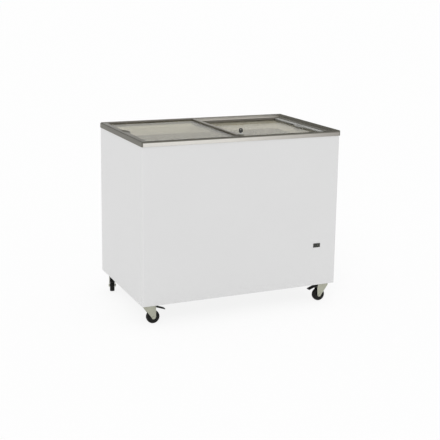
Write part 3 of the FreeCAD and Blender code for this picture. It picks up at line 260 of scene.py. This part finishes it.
castorWear = {"fork": "zincPlatedSteel", "wheel": "treadRubber", "pedal": "blackNylon"}
wear = {node: finish for finish, nodes in wearers.items() for node in nodes}
for corner in corners:
    for part, finish in castorWear.items():
        wear[f"castor_{corner}_{part}"] = finish
for name, node in cadNodes.items():
    for slot in node.material_slots:
        slot.material = materials[wear[name]]
print("nodes dressed")


# Making pieces

def meshPiece(name, bm, finishNames, smoothAngle=35):
    bmesh.ops.recalc_face_normals(bm, faces=bm.faces)
    mesh = bpy.data.meshes.new(name)
    bm.to_mesh(mesh)
    bm.free()
    for finish in finishNames:
        mesh.materials.append(materials[finish])
    mesh.shade_smooth()
    mesh.set_sharp_from_angle(angle=math.radians(smoothAngle))
    piece = bpy.data.objects.new(name, mesh)
    scene.collection.objects.link(piece)
    return piece


def prism(bm, near, far):
    # a closed bar between two outlines with as many points
    rings = [[bm.verts.new(spot) for spot in outline] for outline in (near, far)]
    count = len(near)
    for index in range(count):
        after = (index + 1) % count
        bm.faces.new((rings[0][index], rings[0][after], rings[1][after], rings[1][index]))
    bm.faces.new(rings[0])
    bm.faces.new(rings[1])


def spin(bm, outline, centre, axis, steps, closed=True):
    # outline: (radius, distance along the axis, finish number), turned about the axis through centre
    axis = Vector(axis).normalized()
    side = axis.orthogonal().normalized()
    across = axis.cross(side)
    rings = []
    for radius, along, finish in outline:
        ring = []
        for step in range(steps):
            angle = 2 * math.pi * step / steps
            spoke = side * math.cos(angle) + across * math.sin(angle)
            ring.append(bm.verts.new(Vector(centre) + axis * along + spoke * radius))
        rings.append(ring)
    count = len(rings)
    for index in range(count if closed else count - 1):
        near, far = rings[index], rings[(index + 1) % count]
        for step in range(steps):
            after = (step + 1) % steps
            face = bm.faces.new((near[step], near[after], far[after], far[step]))
            face.material_index = outline[index][2]
    if not closed:
        bm.faces.new(rings[0]).material_index = outline[0][2]
        bm.faces.new(rings[-1]).material_index = outline[-1][2]


def arc(centreRadius, centreAlong, size, start, end, steps, finish):
    # part of a circle in an outline for spin, in degrees from the radial direction
    turns = [math.radians(start + (end - start) * i / steps) for i in range(steps + 1)]
    return [(centreRadius + size * math.cos(t), centreAlong + size * math.sin(t), finish) for t in turns]


# Pressed, cast and moulded parts: copies with the small rounded edges that they have, in mm
edgeRadius = {
    "display_bezel": 0.8, "mains_inlet": 0.3, "starter_box": 2.0, "thermostat": 1.2, "thermostat_knob": 0.6,
    "drain_plug": 0.9, "lock_case": 0.6, "lock_key": 0.5, "left_lid_grip": 0.4, "right_lid_grip": 0.4,
    "front_trim": 0.3, "side_grille": 0.3, "cover_screws": 0.3, "compressor_feet": 1.5,
    "compressor_tray": 0.4,
}
castorEdgeRadius = {"fork": 0.6, "pedal": 0.9}
edging = dict(leastAngle=28, flatAngle=0.5, segments=2, profile=0.5, merge=0.00001)


def roundedCopy(name, radius):
    bm = bmesh.new()
    bm.from_mesh(cadNodes[name].data)
    bmesh.ops.remove_doubles(bm, verts=bm.verts, dist=edging["merge"])
    flat, least = math.radians(edging["flatAngle"]), math.radians(edging["leastAngle"])
    bmesh.ops.dissolve_limit(bm, angle_limit=flat, verts=bm.verts, edges=bm.edges)
    # only outward edges: a fillet in an inner corner would run into the piece that seats there
    sharp = [e for e in bm.edges if e.is_convex and e.calc_face_angle(0.0) > least]
    bmesh.ops.bevel(bm, geom=sharp, offset=radius * mm, offset_type="OFFSET", segments=edging["segments"],
                    profile=edging["profile"], affect="EDGES", clamp_overlap=True)
    for face in bm.faces:
        face.material_index = 0
    piece = meshPiece("rounded_" + name, bm, [wear[name]])
    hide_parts(name)
    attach(piece, bodyOf[name])


for corner in corners:
    for part, radius in castorEdgeRadius.items():
        edgeRadius[f"castor_{corner}_{part}"] = radius
for name in sorted(edgeRadius):
    roundedCopy(name, edgeRadius[name])
print("edges rounded")


# Castor wheels: a solid rubber tyre with a crowned tread on a dished nylon hub, in mm
wheel = dict(radius=32.5, halfWidth=12.0, shoulder=4.5, shoulderTurn=80, shoulderSteps=6, crown=0.7,
             tyreInner=24.0, wallInset=0.6, groove=0.8, grooveInner=0.4, grooveOuter=0.6, rimInset=1.2,
             rimTop=2.0, rimFoot=4.0, dish=4.5, boss=9.0, bossEdge=1.0, bore=4.1, steps=64, smoothAngle=50)
rubber, nylon = 0, 1


def wheelOutline():
    w = wheel
    half, shoulder, inner = w["halfWidth"], w["shoulder"], w["tyreInner"]
    tread = w["radius"] - w["crown"]
    wall = half - w["wallInset"]
    bottom = half - w["dish"]
    upper = [(w["bore"], half, nylon)]
    upper += [(w["boss"] - w["bossEdge"], half, nylon), (w["boss"], half - w["bossEdge"], nylon)]
    upper += [(w["boss"] + w["bossEdge"], bottom, nylon), (inner - w["rimFoot"], bottom, nylon)]
    upper += [(inner - w["rimTop"], half - w["rimInset"], nylon), (inner - w["grooveInner"], wall, nylon)]
    upper += [(inner, wall - w["groove"], rubber), (inner + w["grooveOuter"], wall, rubber)]
    curve = arc(tread - shoulder, half - shoulder, shoulder, 0, w["shoulderTurn"], w["shoulderSteps"], rubber)
    upper += list(reversed(curve))
    middle = [(w["radius"], 0, rubber)]
    lower = [(radius, -along, finish) for radius, along, finish in reversed(upper)]
    rings = upper + middle + lower
    # a face wears the finish of the ring that it starts from, so the lower half's are moved on by one
    worn = [ring[2] for ring in upper + middle] + [ring[2] for ring in lower[1:]] + [nylon]
    return [(radius * mm, along * mm, finish) for (radius, along, _), finish in zip(rings, worn)]


def castorWheel(corner, joint):
    bm = bmesh.new()
    spin(bm, wheelOutline(), joint["pos_m"], joint["axis"], wheel["steps"])
    piece = meshPiece("castorWheel_" + corner, bm, ["treadRubber", "blackNylon"], wheel["smoothAngle"])
    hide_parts(f"castor_{corner}_wheel")
    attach(piece, f"castor_{corner}_wheel")


joints = {joint["name"]: joint for joint in frame["joints"]}
for corner in corners:
    castorWheel(corner, joints[f"castor_{corner}_roll"])
print("castor wheels made")


# Compressor: two drawn half shells welded at a flange, on a pressed foot with round corners, in mm
pot = dict(foot=12.0, heel=4.0, heelHeight=3.0, wallFoot=10.0, shoulder=18.0, shoulderSteps=10, flange=2.0,
           flangeLevel=114.0, flangeHeight=3.0, flangeEdge=0.5, plateShare=0.8, plateSheet=3.0,
           plateCorner=10.0, plateSteps=4, steps=72, smoothAngle=40)


def compressorPot():
    p = pot
    low, high = boxOf("compressor")
    base = Vector(((low.x + high.x) / 2, (low.y + high.y) / 2, low.z))
    radius, top = (high.x - low.x) / 2 / mm, (high.z - low.z) / mm
    shoulder, level, rim = p["shoulder"], p["flangeLevel"], radius + p["flange"]
    outline = [(radius - p["foot"], 0, 0), (radius - p["heel"], p["heelHeight"], 0)]
    outline += [(radius, p["wallFoot"], 0), (radius, level, 0)]
    outline += [(rim, level + p["flangeEdge"], 0), (rim, level + p["flangeHeight"], 0)]
    outline += [(radius, level + p["flangeHeight"] + p["flangeEdge"], 0)]
    outline += arc(radius - shoulder, top - shoulder, shoulder, 0, 90, p["shoulderSteps"], 0)
    bm = bmesh.new()
    spin(bm, [(r * mm, along * mm, finish) for r, along, finish in outline], base, (0, 0, 1), p["steps"],
         closed=False)
    plate = []
    corner = p["plateCorner"]
    reach = radius * p["plateShare"] - corner
    for turn in range(4):
        for step in range(p["plateSteps"] + 1):
            angle = math.radians(90 * (turn + step / p["plateSteps"]))
            x = reach * (1 if turn in (0, 3) else -1) + corner * math.cos(angle)
            y = reach * (1 if turn in (0, 1) else -1) + corner * math.sin(angle)
            plate.append(base + Vector((x, y, 0)) * mm)
    prism(bm, plate, [spot + Vector((0, 0, p["plateSheet"] * mm)) for spot in plate])
    piece = meshPiece("compressorPot", bm, ["blackEnamel"], p["smoothAngle"])
    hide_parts("compressor")
    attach(piece, "cabinet")


compressorPot()
print("compressor made")


# Display: minus eighteen in seven-bar figures printed on the lens, in mm
figures = dict(height=8.0, width=4.2, bar=0.8, gap=1.6, thickness=0.1, text=("g", "bc", "abcdefg"))


def displayFigures():
    f = figures
    low, high = boxOf("display_window")
    middle = (low + high) / 2
    front = low.y - f["thickness"] * mm / 2
    back = front + f["thickness"] * mm
    wide, tall, bar = f["width"], f["height"], f["bar"]
    # each bar's middle and its size, across and up
    bars = {
        "a": (0, tall / 2, wide - bar, bar),
        "b": (wide / 2, tall / 4, bar, tall / 2 - bar),
        "c": (wide / 2, -tall / 4, bar, tall / 2 - bar),
        "d": (0, -tall / 2, wide - bar, bar),
        "e": (-wide / 2, -tall / 4, bar, tall / 2 - bar),
        "f": (-wide / 2, tall / 4, bar, tall / 2 - bar),
        "g": (0, 0, wide - bar, bar),
    }
    pitch = wide + bar + f["gap"]
    bm = bmesh.new()
    for place, letters in enumerate(f["text"]):
        shift = (place - (len(f["text"]) - 1) / 2) * pitch
        for letter in letters:
            x, z, across, up = bars[letter]
            left, right = x + shift - across / 2, x + shift + across / 2
            foot, head = z - up / 2, z + up / 2
            outline = [(middle.x + u * mm, middle.z + v * mm)
                       for u, v in ((left, foot), (right, foot), (right, head), (left, head))]
            prism(bm, [(u, front, v) for u, v in outline], [(u, back, v) for u, v in outline])
    piece = meshPiece("displayFigures", bm, ["unlitFigure"])
    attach(piece, "cabinet")


displayFigures()
print("display figures made")


# Helpers for what repeats, made by Geometry Nodes

def openTree(name, fields):
    tree = bpy.data.node_groups.new(name, "GeometryNodeTree")
    for label, kind in fields.items():
        tree.interface.new_socket(label, in_out="INPUT", socket_type="NodeSocket" + kind)
    tree.interface.new_socket("Geometry", in_out="OUTPUT", socket_type="NodeSocketGeometry")
    return tree, addNode(tree, "NodeGroupInput")


def closeTree(tree, scattered, given):
    # the tree's end: plain mesh, one finish
    real = addNode(tree, "GeometryNodeRealizeInstances", {"Geometry": scattered})
    dressed = addNode(tree, "GeometryNodeSetMaterial", {
        "Geometry": real.outputs["Geometry"], "Material": given.outputs["Finish"]})
    addNode(tree, "NodeGroupOutput", {"Geometry": dressed.outputs["Geometry"]})


def grow(name, tree, values, points=()):
    # runs the tree on a mesh of loose points and returns the result as a plain piece
    seedMesh = bpy.data.meshes.new(name + "Points")
    seedMesh.from_pydata(list(points), [], [])
    holder = bpy.data.objects.new(name + "Holder", seedMesh)
    scene.collection.objects.link(holder)
    modifier = holder.modifiers.new("grow", "NODES")
    modifier.node_group = tree
    for item in tree.interface.items_tree:
        if item.item_type == "SOCKET" and item.in_out == "INPUT" and item.name in values:
            modifier[item.identifier] = values[item.name]
    evaluated = holder.evaluated_get(bpy.context.evaluated_depsgraph_get())
    mesh = bpy.data.meshes.new_from_object(evaluated)
    bpy.data.objects.remove(holder)
    piece = bpy.data.objects.new(name, mesh)
    scene.collection.objects.link(piece)
    return piece


# Brush seal under the upper lid's inner edge: a holder strip and its bristles, in metres
brush = dict(width=0.0044, stripHeight=0.0012, stripEdge=0.0005, sideGap=0.0006, endGap=0.001, rows=4,
             perRow=390, bristleLength=0.0022, bristleRadius=0.00028, bristleSides=4, tipShare=0.6, lean=0.16,
             seed=7, smoothAngle=30)


def bristleTree():
    tree, given = openTree("bristles", {
        "Geometry": "Geometry", "Width": "Float", "Length": "Float", "Rows": "Int", "Per row": "Int",
        "Bristle length": "Float", "Bristle radius": "Float", "Lean": "Float", "Seed": "Int",
        "Finish": "Material"})
    g = given.outputs
    grid = addNode(tree, "GeometryNodeMeshGrid", {
        "Size X": g["Width"], "Size Y": g["Length"], "Vertices X": g["Rows"], "Vertices Y": g["Per row"]})
    tip = addNode(tree, "ShaderNodeMath", {0: g["Bristle radius"], 1: brush["tipShare"]},
                  operation="MULTIPLY")
    bristle = addNode(tree, "GeometryNodeMeshCone", {
        "Vertices": brush["bristleSides"], "Radius Top": g["Bristle radius"],
        "Radius Bottom": tip.outputs["Value"], "Depth": g["Bristle length"]})
    low = addNode(tree, "ShaderNodeMath", {0: g["Lean"], 1: -1.0}, operation="MULTIPLY")
    least = addNode(tree, "ShaderNodeCombineXYZ", {"X": low.outputs["Value"], "Y": low.outputs["Value"]})
    most = addNode(tree, "ShaderNodeCombineXYZ", {"X": g["Lean"], "Y": g["Lean"]})
    lean = addNode(tree, "FunctionNodeRandomValue", {
        0: least.outputs["Vector"], 1: most.outputs["Vector"], "Seed": g["Seed"]}, data_type="FLOAT_VECTOR")
    standing = addNode(tree, "GeometryNodeInstanceOnPoints", {
        "Points": grid.outputs["Mesh"], "Instance": bristle.outputs["Mesh"],
        "Rotation": lean.outputs["Value"]})
    closeTree(tree, standing.outputs["Instances"], given)
    return tree


def lidBrush():
    b = brush
    low, high = boxOf("lid_brush")
    x, top = (low.x + high.x) / 2, high.z
    bristles = grow("bristleRows", bristleTree(), {
        "Width": b["width"] - 2 * b["sideGap"], "Length": high.y - low.y - 2 * b["endGap"], "Rows": b["rows"],
        "Per row": b["perRow"], "Bristle length": b["bristleLength"], "Bristle radius": b["bristleRadius"],
        "Lean": b["lean"], "Seed": b["seed"], "Finish": materials["blackNylon"]})
    bm = bmesh.new()
    bm.from_mesh(bristles.data)
    bpy.data.objects.remove(bristles)
    stripFoot = top - b["stripHeight"]
    bmesh.ops.translate(bm, verts=bm.verts, vec=(x, 0, stripFoot - b["bristleLength"]))
    half, edge = b["width"] / 2, b["stripEdge"]
    section = [(-half, top), (half, top), (half, stripFoot + edge), (half - edge, stripFoot),
               (edge - half, stripFoot), (-half, stripFoot + edge)]
    near, far = [[(x + across, y, z) for across, z in section] for y in (low.y, high.y)]
    prism(bm, near, far)
    for face in bm.faces:
        face.material_index = 0
    piece = meshPiece("lidBrushSeal", bm, ["blackNylon"], b["smoothAngle"])
    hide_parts("lid_brush")
    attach(piece, "left_lid")


lidBrush()
print("brush seal made")


# Blind rivets round the edge of the back panel, none beside the machine room's cover, in metres
rivets = dict(sideInset=0.012, low=0.118, high=0.855, acrossCount=7, upCount=5, radius=0.0036, height=0.0012,
              roundness=3)


def rivetTree():
    tree, given = openTree("rivets", {
        "Geometry": "Geometry", "Radius": "Float", "Height": "Float", "Finish": "Material"})
    g = given.outputs
    head = addNode(tree, "GeometryNodeMeshIcoSphere", {
        "Radius": g["Radius"], "Subdivisions": rivets["roundness"]})
    flat = addNode(tree, "ShaderNodeMath", {0: g["Height"], 1: g["Radius"]}, operation="DIVIDE")
    squash = addNode(tree, "ShaderNodeCombineXYZ", {"X": 1.0, "Y": flat.outputs["Value"], "Z": 1.0})
    standing = addNode(tree, "GeometryNodeInstanceOnPoints", {
        "Points": g["Geometry"], "Instance": head.outputs["Mesh"], "Scale": squash.outputs["Vector"]})
    closeTree(tree, standing.outputs["Instances"], given)
    return tree


def backRivets():
    r = rivets
    panelHigh = boxOf("back_panel")[1]
    coverLow, coverHigh = boxOf("rear_cover")
    face, edge = panelHigh.y, panelHigh.x - r["sideInset"]
    spots = []
    for index in range(r["upCount"]):
        z = r["low"] + (r["high"] - r["low"]) * index / (r["upCount"] - 1)
        spots.append((-edge, face, z))
        if z > coverHigh.z:
            spots.append((edge, face, z))
    for index in range(1, r["acrossCount"] - 1):
        x = -edge + 2 * edge * index / (r["acrossCount"] - 1)
        spots.append((x, face, r["high"]))
        if x < coverLow.x:
            spots.append((x, face, r["low"]))
    piece = grow("backRivets", rivetTree(), {
        "Radius": r["radius"], "Height": r["height"], "Finish": materials["zincPlatedSteel"]}, spots)
    piece.data.shade_smooth()
    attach(piece, "cabinet")


backRivets()
print("rivets made")


# Studio: pale floor, even sky and one broad sun that falls alike on the front and on the left-hand side
studio = dict(floorSize=400.0, floorHex="F7F7F7", floorRoughness=0.9, floorSpecular=0.1, floorGlow=0.85,
              skyStrength=0.86, sunTurn=-36.0, sunHeight=42.0, sunDistance=5.0, sunPower=0.6, sunSpread=25.0)


def whiteForView(tree):
    # 1 for what the camera sees straight, in a reflection or through glass, and otherwise 0
    ray = addNode(tree, "ShaderNodeLightPath").outputs
    seen = addNode(tree, "ShaderNodeMath", {0: ray["Is Camera Ray"], 1: ray["Is Glossy Ray"]},
                   operation="MAXIMUM")
    through = addNode(tree, "ShaderNodeMath", {0: seen.outputs["Value"], 1: ray["Is Transmission Ray"]},
                      operation="MAXIMUM")
    return through.outputs["Value"]


def paleFloor():
    mesh = bpy.data.meshes.new("paleFloor")
    half = studio["floorSize"] / 2
    spots = [(-half, -half, 0), (half, -half, 0), (half, half, 0), (-half, half, 0)]
    mesh.from_pydata(spots, [], [(0, 1, 2, 3)])
    floor = bpy.data.objects.new("paleFloor", mesh)
    scene.collection.objects.link(floor)
    material = bpy.data.materials.new("paleFloorPaint")
    material.use_nodes = True
    tree = material.node_tree
    shader = tree.nodes["Principled BSDF"]
    shader.inputs["Base Color"].default_value = linearColour(studio["floorHex"])
    shader.inputs["Roughness"].default_value = studio["floorRoughness"]
    shader.inputs["Specular IOR Level"].default_value = studio["floorSpecular"]
    glow = addNode(tree, "ShaderNodeEmission", {"Color": (1, 1, 1, 1), "Strength": 1.0})
    share = addNode(tree, "ShaderNodeMath", {0: whiteForView(tree), 1: studio["floorGlow"]},
                    operation="MULTIPLY")
    blend = addNode(tree, "ShaderNodeMixShader", {
        0: share.outputs["Value"], 1: shader.outputs["BSDF"], 2: glow.outputs["Emission"]})
    tree.links.new(blend.outputs["Shader"], tree.nodes["Material Output"].inputs["Surface"])
    mesh.materials.append(material)


def skyLight():
    world = bpy.data.worlds.new("studioSky")
    scene.world = world
    world.use_nodes = True
    tree = world.node_tree
    background = tree.nodes["Background"]
    background.inputs["Color"].default_value = (1, 1, 1, 1)
    level = addNode(tree, "ShaderNodeMapRange", {
        "Value": whiteForView(tree), "To Min": studio["skyStrength"], "To Max": 1.0})
    tree.links.new(level.outputs["Result"], background.inputs["Strength"])


def softSun():
    data = bpy.data.lights.new("softSun", "SUN")
    data.energy = studio["sunPower"]
    data.angle = math.radians(studio["sunSpread"])
    lamp = bpy.data.objects.new("softSun", data)
    turn, height = math.radians(studio["sunTurn"]), math.radians(studio["sunHeight"])
    toSun = Vector((math.sin(turn) * math.cos(height), -math.cos(turn) * math.cos(height), math.sin(height)))
    lamp.rotation_euler = toSun.to_track_quat("Z", "Y").to_euler()
    lamp.location = toSun * studio["sunDistance"]
    scene.collection.objects.link(lamp)


paleFloor()
skyLight()
softSun()
print("studio set")


# Camera: place in metres, angles in degrees, lens and sensor in mm
shot = dict(place=(-1.910, -4.308, 1.592), yaw=24.06, pitch=11.50, roll=0.79, lens=76.9, sensor=36.0,
            shiftY=-0.1, clipEnd=200.0)


def viewCamera():
    data = bpy.data.cameras.new("viewCamera")
    data.lens = shot["lens"]
    data.sensor_width = shot["sensor"]
    data.shift_y = shot["shiftY"]
    data.clip_end = shot["clipEnd"]
    camera = bpy.data.objects.new("viewCamera", data)
    scene.collection.objects.link(camera)
    scene.camera = camera
    turn = Matrix.Rotation(math.radians(-shot["yaw"]), 4, "Z")
    tilt = Matrix.Rotation(math.radians(90 - shot["pitch"]), 4, "X")
    roll = Matrix.Rotation(math.radians(shot["roll"]), 4, "Z")
    camera.matrix_world = Matrix.Translation(shot["place"]) @ turn @ tilt @ roll


viewCamera()
scene.view_settings.view_transform = "Standard"
print("camera set")
